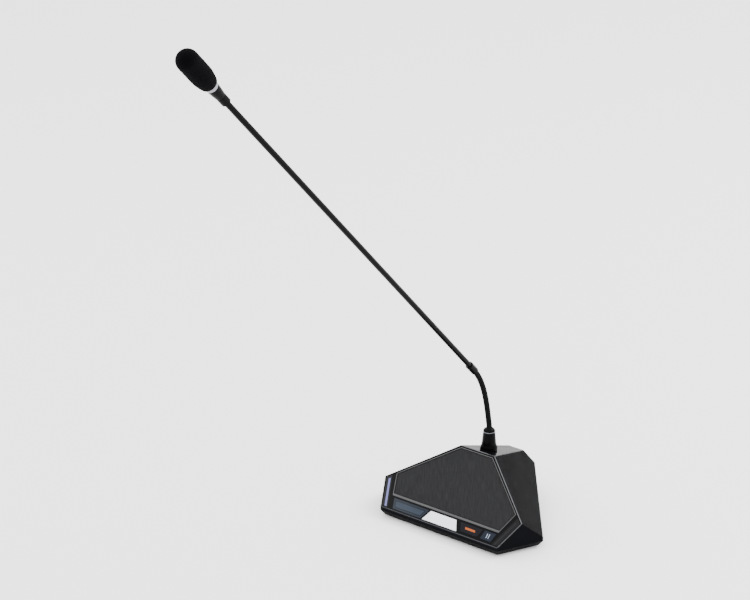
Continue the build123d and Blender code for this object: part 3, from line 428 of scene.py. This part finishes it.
class StationColours(bpy.types.PropertyGroup):
    """Colours of the desk station."""
    housing: FloatVectorProperty(
        name="Housing", description="Textured plastic of the housing", default=linear("#070708"),
        size=4, subtype="COLOR")
    tray: FloatVectorProperty(
        name="Tray", description="Matt plastic of the base", default=linear("#070708"), size=4,
        subtype="COLOR")
    bezel: FloatVectorProperty(
        name="Bezel", description="Paint of the grille's bezel", default=linear("#1B1C1E"), size=4,
        subtype="COLOR")
    speak_key: FloatVectorProperty(
        name="Speak key", description="Lacquer of the widest key", default=linear("#F2F3F8"),
        size=4, subtype="COLOR")
    channel_key: FloatVectorProperty(
        name="Channel key", description="Plastic of the smallest key", default=linear("#151A24"),
        size=4, subtype="COLOR")
    window: FloatVectorProperty(
        name="Window", description="Smoked window", default=linear("#181E27"), size=4,
        subtype="COLOR")
    lit_guide: FloatVectorProperty(
        name="Lit guide", description="Light guide that is on", default=linear("#5C5E88"), size=4,
        subtype="COLOR")
    lamp: FloatVectorProperty(
        name="Lamp", description="Bar on the priority key", default=linear("#8F4519"), size=4,
        subtype="COLOR")


class ScreenSizes(bpy.types.PropertyGroup):
    """Screen behind the display window."""
    colour: FloatVectorProperty(
        name="Screen", description="Colour of the blank screen", default=linear("#232B36"), size=4,
        subtype="COLOR")
    border_colour: FloatVectorProperty(
        name="Border colour", description="Printed border round the screen",
        default=linear("#05070A"), size=4, subtype="COLOR")
    border: FloatProperty(
        name="Border", description="From the window's edge to the border", default=2.2 * MM,
        unit="LENGTH", precision=5)
    line: FloatProperty(
        name="Line", description="Width of the printed border", default=0.7 * MM, unit="LENGTH",
        precision=5)
    film: FloatProperty(
        name="Film", description="Thickness of each printed film", default=0.02 * MM, unit="LENGTH",
        precision=5)


class ChamferSizes(bpy.types.PropertyGroup):
    """Chamfers of the housing, painted paler as a highlight."""
    # the chamfers' colour is a painted highlight, paler than the housing
    colour: FloatVectorProperty(
        name="Chamfer", description="Colour of the chamfers' painted highlight", default=linear("#26272A"),
        size=4, subtype="COLOR")
    width: FloatProperty(
        name="Width", description="Width of the housing's chamfers", default=1.1 * MM,
        unit="LENGTH", precision=5)
    longest: FloatProperty(
        name="Longest", description="Length that no chamfer reaches", default=250 * MM,
        unit="LENGTH")
    film: FloatProperty(
        name="Film", description="How far the painted highlight skin stands off", default=0.02 * MM,
        unit="LENGTH", precision=5)


class GrilleSizes(bpy.types.PropertyGroup):
    """Cloth over the loudspeaker grille."""
    colour: FloatVectorProperty(
        name="Cloth", description="Colour of the cloth", default=linear("#2C2C2E"), size=4,
        subtype="COLOR")
    thread: FloatProperty(
        name="Thread", description="Spacing of the threads, about twice as coarse as real cloth",
        default=0.43982 * MM, unit="LENGTH", precision=5)
    turn: FloatProperty(
        name="Turn", description="How far the cloth is laid off square", default=radians(30.4),
        subtype="ANGLE")
    roll: FloatProperty(
        name="Edge roll", description="Radius of the rolled edge", default=0.6 * MM, unit="LENGTH",
        precision=5)
    rings: IntProperty(
        name="Rings", description="Rings of points from edge to middle", default=36)
    per_edge: IntProperty(
        name="Per edge", description="Points along each edge of the cloth", default=30)


class NeckSizes(bpy.types.PropertyGroup):
    """Flexible neck."""
    colour: FloatVectorProperty(
        name="Neck", description="Colour of the neck's coating", default=linear("#09090A"), size=4,
        subtype="COLOR")
    coil_pitch: FloatProperty(
        name="Coil pitch", description="Distance between turns of the coil", default=1.05 * MM,
        unit="LENGTH", precision=5)
    coil_depth: FloatProperty(
        name="Coil depth", description="Depth of the groove between turns", default=0.2 * MM,
        unit="LENGTH", precision=5)
    around: IntProperty(name="Around", description="Points round the neck", default=24)
    per_turn: IntProperty(name="Per turn", description="Points along each turn", default=6)


class WindscreenSizes(bpy.types.PropertyGroup):
    """Foam windscreen."""
    colour: FloatVectorProperty(
        name="Foam", description="Colour of the foam", default=linear("#060608"), size=4,
        subtype="COLOR")
    cell: FloatProperty(
        name="Cell", description="Size of the foam's cells", default=0.8 * MM, unit="LENGTH",
        precision=5)
    foot_share: FloatProperty(
        name="Foot", description="Width at the foot, as a share of the whole", default=0.752,
        min=0.5, max=1.0)
    swell_share: FloatProperty(
        name="Swell", description="Share of the length over which it swells", default=0.36,
        min=0.1, max=0.6)
    unevenness: FloatProperty(
        name="Unevenness", description="How far the cut surface wanders", default=0.16 * MM,
        unit="LENGTH", precision=5)
    around: IntProperty(name="Around", description="Points round the foam", default=120)
    along: IntProperty(name="Along", description="Points along the foam", default=150)


# ---------------------------------------------------------------- operators
class PODIUM_OT_stage(bpy.types.Operator):
    """Set up the floor, the camera and the soft light"""
    bl_idname = "podium.stage"
    bl_label = "Stage"
    wall_foot, wall_top = 0.1, 0.55  # heights on a unit sphere between which the tent brightens
    aim = (0, 0, 0.1)  # what the lights face

    def execute(self, context):
        settings = context.scene.podium_stage
        scene = context.scene
        camera = bpy.data.objects.new("camera", bpy.data.cameras.new("camera"))
        camera.data.lens = settings.lens
        camera.data.clip_end = 100.0
        camera.location = settings.place
        camera.rotation_euler = (pi / 2 - settings.elevation, 0, settings.azimuth)
        scene.collection.objects.link(camera)
        scene.camera = camera

        material, tree, place = new_material("Pale matt board")
        roughness, normal = grained(tree, place, 1.5, 0.01, 0.75, 0.85)
        surface(tree, Base_Color=settings.floor_colour, Roughness=roughness, Normal=normal)
        half = settings.floor_size / 2
        corners = [(-half, -half, 0), (half, -half, 0), (half, half, 0), (-half, half, 0)]
        mesh_piece("floor", corners, [(0, 1, 2, 3)], material, smooth=False)

        world = bpy.data.worlds.new("light tent with dark lower walls")
        world.use_nodes = True
        tree = world.node_tree
        direction = add(tree, "SeparateXYZ", {"Vector": add(tree, "TexCoord").outputs["Generated"]})
        strength = add(tree, "MapRange", {
            "Value": direction.outputs["Z"], "From Min": self.wall_foot, "From Max": self.wall_top,
            "To Min": settings.sky * settings.horizon, "To Max": settings.sky})
        background = tree.nodes["Background"]
        background.inputs["Color"].default_value = (1, 1, 1, 1)
        tree.links.new(strength.outputs["Result"], background.inputs["Strength"])
        scene.world = world
        self.softbox("softbox", place=(1.2, 1.5, 1.9), side=1.6, power=settings.softbox)
        self.softbox("fill", place=(-1.8, -0.8, 1.4), side=1.2, power=settings.fill)
        return {"FINISHED"}

    def softbox(self, name, place, side, power):
        """A square light that faces the station."""
        light = bpy.data.lights.new(name, "AREA")
        light.shape = "SQUARE"
        light.size = side
        light.energy = power
        lamp = bpy.data.objects.new(name, light)
        lamp.location = place
        lamp.rotation_euler = (Vector(place) - Vector(self.aim)).to_track_quat("Z", "Y").to_euler()
        bpy.context.scene.collection.objects.link(lamp)


class PODIUM_OT_housing(bpy.types.Operator):
    """Finish the housing, tray, sole and frame"""
    bl_idname = "podium.housing"
    bl_label = "Housing and base"

    def execute(self, context):
        colours = context.scene.podium_station
        dress(textured_abs(colours.housing), "upper_housing")
        dress(matt_abs(colours.tray), "base_tray")
        dress(polished_abs("Polished black ABS", linear("#060607")), "front_frame")
        dress(satin_paint(colours.bezel), "grille_bezel")
        dress(vulcanised_rubber("Black rubber sheet", linear("#1A1A1A")), "rubber_sole")
        dress(plated_metal("Zinc-plated steel", linear("#B9BBC0"), 0.28, 0.4),
              "housing_screws", "board_screws", "speaker_screws")
        return {"FINISHED"}


class PODIUM_OT_chamfers(bpy.types.Operator):
    """Paint a highlight on the housing's chamfers: a pale skin laid over each one"""
    bl_idname = "podium.chamfers"
    bl_label = "Chamfers"
    narrowest, widest = 0.35, 1.2  # shares of a chamfer's width that its faces may have
    slimness = 12  # a chamfer's face is longer than this many widths
    upward = 0.05  # and looks up at least this much
    digits = 2  # of a normal, for faces that share one plane's direction

    def execute(self, context):
        sizes = context.scene.podium_chamfers
        mesh = frame["nodes"]["upper_housing"].data
        areas = {}
        for polygon in mesh.polygons:
            facing = self.facing(polygon)
            areas[facing] = areas.get(facing, 0.0) + polygon.area
        points, faces = [], []
        for polygon in mesh.polygons:
            corners = [mesh.vertices[i].co for i in polygon.vertices]
            longest = max((a - b).length for a, b in neighbours(corners))
            width = 2 * polygon.area / longest / sizes.width
            narrow = self.narrowest < width < self.widest
            slim = longest > self.slimness * sizes.width
            alone = areas[self.facing(polygon)] < sizes.width * sizes.longest
            if polygon.normal.z > self.upward and slim and narrow and alone:
                faces.append(tuple(range(len(points), len(points) + len(corners))))
                points += [corner + polygon.normal * sizes.film for corner in corners]
        # painted highlight: a pale skin over the chamfers stands for the light that their edges
        # catch
        chamfers = mesh_piece(
            "chamfers_painted_highlight", points, faces, painted_highlight_chamfer(sizes.colour), smooth=False)
        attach(chamfers, "station")
        return {"FINISHED"}

    def facing(self, polygon):
        """A polygon's direction, rounded so that the faces of one plane share it."""
        return tuple(round(c, self.digits) for c in polygon.normal)


class PODIUM_OT_keys(bpy.types.Operator):
    """Finish the keys, the display window and the indicators"""
    bl_idname = "podium.keys"
    bl_label = "Keys and indicators"

    def execute(self, context):
        colours = context.scene.podium_station
        dress(silver_lacquer(colours.speak_key), "speak_key")
        dress(polished_abs("Gloss black key", linear("#0A0B10"), coat=0.3), "priority_key")
        dress(polished_abs("Blue-grey key", colours.channel_key, coat=0.3), "channel_key")
        dress(frosted_polycarbonate("Amber lamp bar", colours.lamp, 0.15), "priority_lamp")
        dress(printed_ink(linear("#8E98AA")), "channel_marks")
        dress(smoked_acrylic("Blue-grey smoked acrylic", colours.window), "display_window")
        self.screen(context.scene.podium_screen)
        dress(smoked_acrylic("Black smoked acrylic", linear("#0B0B0D")),
              "right_indicator_lens", "left_indicator_lens")
        dress(frosted_polycarbonate("Lit light guide", colours.lit_guide, 0.25), "left_light_guide")
        dress(frosted_polycarbonate("Unlit light guide", linear("#070709"), 0.0),
              "right_light_guide")
        return {"FINISHED"}

    def screen(self, sizes):
        """The blank screen that shows through the window, with its dark border."""
        outward = -Vector(joints["speak_press"]["axis"])
        corners = face_outline("display_window", outward)
        for name, inset, lift, colour in (
                ("screen_border", sizes.border, sizes.film, sizes.border_colour),
                ("screen_glass", sizes.border + sizes.line, 2 * sizes.film, sizes.colour)):
            points = []
            for before, (corner, after) in zip(corners[-1:] + corners, neighbours(corners)):
                one, two = (before - corner).normalized(), (after - corner).normalized()
                inward = (one + two) * (inset / one.cross(two).length)
                points.append(corner + inward + outward * lift)
            material = smoked_acrylic(name.replace("_", " ").capitalize(), colour)
            piece = mesh_piece(name, points, [tuple(range(len(points)))], material, smooth=False)
            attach(piece, "station")


class PODIUM_OT_interior(bpy.types.Operator):
    """Finish the boards, switches and loudspeaker inside the station"""
    bl_idname = "podium.interior"
    bl_label = "Interior"

    def execute(self, context):
        dress(solder_mask(linear("#0E3A1C")), "main_board", "control_board")
        dress(glass_filled_nylon("Black switch nylon", linear("#1B1B1B")),
              "switch_bodies", "grille_backer")
        dress(glass_filled_nylon("Ivory acetal", linear("#D8D0B8")),
              "speak_plunger", "priority_plunger", "channel_plunger")
        dress(frosted_polycarbonate("White lamp epoxy", linear("#E6E4D4"), 0.1), "indicator_leds")
        dress(smoked_acrylic("Blank display glass", linear("#11141A")), "display_module")
        dress(lacquered_metal("Black-painted steel", linear("#232426"), 0.35, 0.5),
              "speaker_basket", "ballast_plate")
        dress(pressed_paper(linear("#222223")), "speaker_cone")
        dress(vulcanised_rubber("Half-roll rubber", linear("#1C1C1C")), "speaker_surround")
        dress(open_cell_foam("Gasket foam", linear("#242426"), 0.5), "speaker_gasket")
        dress(sintered_ferrite(linear("#3C3C3F")), "speaker_magnet")
        return {"FINISHED"}


class PODIUM_OT_sockets(bpy.types.Operator):
    """Finish the rear sockets, the microphone socket and the plug"""
    bl_idname = "podium.sockets"
    bl_label = "Sockets and plug"

    def execute(self, context):
        dress(glass_filled_nylon("Black socket nylon", linear("#060607")),
              "left_network_socket", "right_network_socket", "mic_socket")
        dress(plated_metal("Gold-plated contacts", linear("#E3B95B"), 0.16, 0.26),
              "network_contacts", "socket_contacts", "plug_pins")
        dress(lacquered_metal("Satin black chromate on brass", linear("#060607"), 0.24, 0.34),
              "mic_plug", "lock_collar")
        dress(plated_metal("Satin chrome", linear("#57585B"), 0.2, 0.3), "collar_ring")
        return {"FINISHED"}


class PODIUM_OT_grille(bpy.types.Operator):
    """Stretch the cloth over the loudspeaker grille"""
    bl_idname = "podium.grille"
    bl_label = "Grille cloth"
    crowding = 1.6  # above 1, the rings lie closer together towards the edge
    slack = 0.02 * MM  # how far the stretched cloth still waves
    waves = 90  # of that, per metre

    def execute(self, context):
        sizes = context.scene.podium_grille
        inward = Vector(joints["speak_press"]["axis"])
        across, up = Vector((1, 0, 0)), -inward.cross(Vector((1, 0, 0)))
        corners = face_outline("speaker_grille", -inward)
        face = corners[0].dot(inward)
        middle = Vector((0, sum(c.dot(up) for c in corners) / len(corners)))
        outline = [Vector((c.x, c.dot(up))) - middle for c in corners]
        border = self.points_along(outline, sizes.per_edge)

        points = []
        for ring in range(sizes.rings):
            share = 1 - (ring / sizes.rings) ** self.crowding
            for point in border:
                x, y = point * share
                short = max(0.0, sizes.roll - self.edge_distance(outline, x, y))
                drop = sizes.roll - sqrt(max(0.0, sizes.roll ** 2 - short ** 2))
                wave = self.slack * noise.noise(Vector((x, y, 0)) * self.waves)
                points.append((x, y, wave - drop))
        faces = ring_faces(sizes.rings, len(border), tip=len(points))
        points.append((0, 0, 0))
        material = acoustic_cloth(sizes.colour, sizes.thread / MM, sizes.turn)
        cloth = mesh_piece("grille_cloth", points, faces, material)
        place = Matrix((across, up, -inward)).transposed().to_4x4()
        place.translation = up * middle.y + inward * face
        cloth.matrix_world = place
        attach(cloth, "station")
        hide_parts("speaker_grille")
        return {"FINISHED"}

    def points_along(self, outline, count):
        """Evenly spaced points on each edge."""
        return [a.lerp(b, i / count) for a, b in neighbours(outline) for i in range(count)]

    def edge_distance(self, outline, x, y):
        """How far inside the outline a point lies."""
        distances = []
        for a, b in neighbours(outline):
            edge = b - a
            distances.append(abs(edge.x * (y - a.y) - edge.y * (x - a.x)) / edge.length)
        return min(distances)


class PODIUM_OT_neck(bpy.types.Operator):
    """Wind the flexible neck, one length over each of its joints"""
    bl_idname = "podium.neck"
    bl_label = "Flexible neck"
    fewest_steps = 4  # rings along one length of the neck
    sharpness = 0.6  # below 1, the turns are round and the grooves between them sharp

    def execute(self, context):
        sizes = context.scene.podium_neck
        # Forward and sideways hinges take turns up the neck, and the last one bends forward.
        names = [f"neck_{kind}_{i}" for i in range(1, 6) for kind in ("bend", "side")][:-1]
        pivots = [Vector(joints[name]["pos_m"]) for name in names]
        stem = Vector(joints["windscreen_pull"]["axis"])
        foot = Vector((0, pivots[0].y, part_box("mic_plug")[1].z - sizes.coil_pitch))
        sleeve = pivots[-1] + stem * (span("lower_sleeve", pivots[-1], stem)[0] + sizes.coil_pitch)
        ends = [foot] + [(a + b) / 2 for a, b in zip(pivots, pivots[1:])] + [sleeve]
        coating = vulcanised_rubber("Matt rubberised coating on sprung coil", sizes.colour)
        radius = half_width("neck_link_1")
        travelled = 0.0
        for i, pivot in enumerate(pivots):
            start, end = ends[i], ends[i + 1]
            length = (pivot - start).length + (end - pivot).length
            steps = max(self.fewest_steps, round(length / sizes.coil_pitch * sizes.per_turn))
            points = []
            for j in range(steps + 1):
                t = j / steps
                centre = start * (1 - t) ** 2 + pivot * (2 * t * (1 - t)) + end * t ** 2
                along = ((pivot - start) * (1 - t) + (end - pivot) * t).normalized()
                side = Vector((1, 0, 0))
                other = along.cross(side)
                for k in range(sizes.around):
                    angle = tau * k / sizes.around
                    turn = (travelled + t * length) / sizes.coil_pitch - k / sizes.around
                    groove = sizes.coil_depth * (1 - abs(sin(pi * turn)) ** self.sharpness)
                    outward = side * cos(angle) + other * sin(angle)
                    points.append(centre + outward * (radius - groove))
            travelled += length
            faces = ring_faces(steps + 1, sizes.around)
            piece = mesh_piece(f"neck_coil_{i + 1}", points, faces, coating)
            parent, child = joints[names[i]]["parent"], joints[names[i]]["child"]
            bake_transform(piece)
            if child.startswith("neck"):
                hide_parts(child.replace("neck", "neck_link"))
        return {"FINISHED"}


class PODIUM_OT_stem(bpy.types.Operator):
    """Finish the stem, its ferrules, the head and the lamp ring"""
    bl_idname = "podium.stem"
    bl_label = "Stem and head"

    def execute(self, context):
        dress(lacquered_metal("Gloss black lacquer on steel tube", linear("#070708"), 0.09, 0.16),
              "stem_tube")
        dress(lacquered_metal("Black lacquer on turned brass", linear("#070708"), 0.14, 0.22),
              "lower_sleeve", "upper_coupler", "capsule_housing")
        dress(frosted_polycarbonate("Frosted white lamp ring", linear("#8C8C93"), 0.05),
              "lamp_ring")
        dress(vulcanised_rubber("Grey cable jacket", linear("#3A3A3A")), "stem_cable")
        dress(plated_metal("Blackened brass", linear("#2B2B2D"), 0.3, 0.42),
              "capsule_basket", "capsule_cartridge")
        return {"FINISHED"}


class PODIUM_OT_windscreen(bpy.types.Operator):
    """Cut the foam windscreen"""
    bl_idname = "podium.windscreen"
    bl_label = "Foam windscreen"
    bore_depth = 4 * MM  # how far the bore is drawn, where it grips the nose
    foot_edge = 0.9  # width of the foot's flat end, as a share of the foot's
    fullness = 0.8  # below 1, the foam swells quickly above the foot
    last_ring, tip = 0.2 * MM, 0.1 * MM  # how far these stay below the foam's end
    lumps, pores = 320, 900  # per metre, in the unevenness of the cut surface

    def execute(self, context):
        sizes = context.scene.podium_windscreen
        direction = Vector(joints["windscreen_pull"]["axis"])
        origin = Vector(joints["neck_bend_5"]["pos_m"])
        start, end = span("foam_windscreen", origin, direction)
        length, radius = end - start, half_width("foam_windscreen")
        bore = half_width("capsule_basket")
        side = Vector((1, 0, 0))
        other = direction.cross(side)
        base = origin + direction * start
        profile = self.profile(sizes, length, radius, bore)
        points = []
        for height, width in profile:
            for k in range(sizes.around):
                angle = tau * k / sizes.around
                outward = side * cos(angle) + other * sin(angle)
                point = base + direction * height + outward * width
                wander = (noise.noise(point * self.lumps) + noise.noise(point * self.pores) - 1) / 2
                points.append(point + outward * (sizes.unevenness * wander if width > bore else 0))
        faces = ring_faces(len(profile), sizes.around, tip=len(points))
        points.append(base + direction * (length - self.tip))
        foam = mesh_piece("windscreen", points, faces,
                          open_cell_foam("Black open-cell foam", sizes.colour, sizes.cell / MM))
        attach(foam, "windscreen")
        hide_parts("foam_windscreen")
        return {"FINISHED"}

    def profile(self, sizes, length, radius, bore):
        """Heights and widths from inside the bore, over the foot and swell, to the round end."""
        foot = radius * sizes.foot_share
        swell = length * sizes.swell_share
        profile = [(self.bore_depth, bore), (0.0, bore), (0.0, foot * self.foot_edge)]
        for i in range(sizes.along):
            height = (length - self.last_ring) * (i + 1) / sizes.along
            if height < swell:
                width = foot + (radius - foot) * sin(pi / 2 * height / swell) ** self.fullness
            elif height < length - radius:
                width = radius
            else:
                width = radius * sin(acos(min(1.0, (height - length + radius) / radius)))
            profile.append((height, width))
        return profile


class PODIUM_PT_panel(bpy.types.Panel):
    """Every piece of the podium microphone, with its sizes and colours"""
    bl_idname = "PODIUM_PT_panel"
    bl_label = "Podium microphone"
    bl_space_type = "VIEW_3D"
    bl_region_type = "UI"
    bl_category = "Podium microphone"

    def draw(self, context):
        for operator in operators:
            self.layout.operator(operator.bl_idname)
        for name, group in groups.items():
            box = self.layout.box()
            box.label(text=group.__doc__.rstrip("."))
            for key in group.__annotations__:
                box.prop(getattr(context.scene, name), key)


groups = {
    "podium_stage": StageSettings,
    "podium_station": StationColours,
    "podium_screen": ScreenSizes,
    "podium_chamfers": ChamferSizes,
    "podium_grille": GrilleSizes,
    "podium_neck": NeckSizes,
    "podium_windscreen": WindscreenSizes,
}
operators = [
    PODIUM_OT_stage, PODIUM_OT_housing, PODIUM_OT_chamfers, PODIUM_OT_grille, PODIUM_OT_keys,
    PODIUM_OT_interior, PODIUM_OT_sockets, PODIUM_OT_neck, PODIUM_OT_stem, PODIUM_OT_windscreen,
]


def register():
    for cls in [*groups.values(), *operators, PODIUM_PT_panel]:
        bpy.utils.register_class(cls)
    for name, group in groups.items():
        setattr(bpy.types.Scene, name, PointerProperty(type=group))


def unregister():
    for name in groups:
        delattr(bpy.types.Scene, name)
    for cls in reversed([*groups.values(), *operators, PODIUM_PT_panel]):
        bpy.utils.unregister_class(cls)


def main():
    """Register the add-on and make every piece."""
    register()
    for operator in operators:
        module, name = operator.bl_idname.split(".")
        getattr(getattr(bpy.ops, module), name)()


if __name__ == "__main__":
    main()
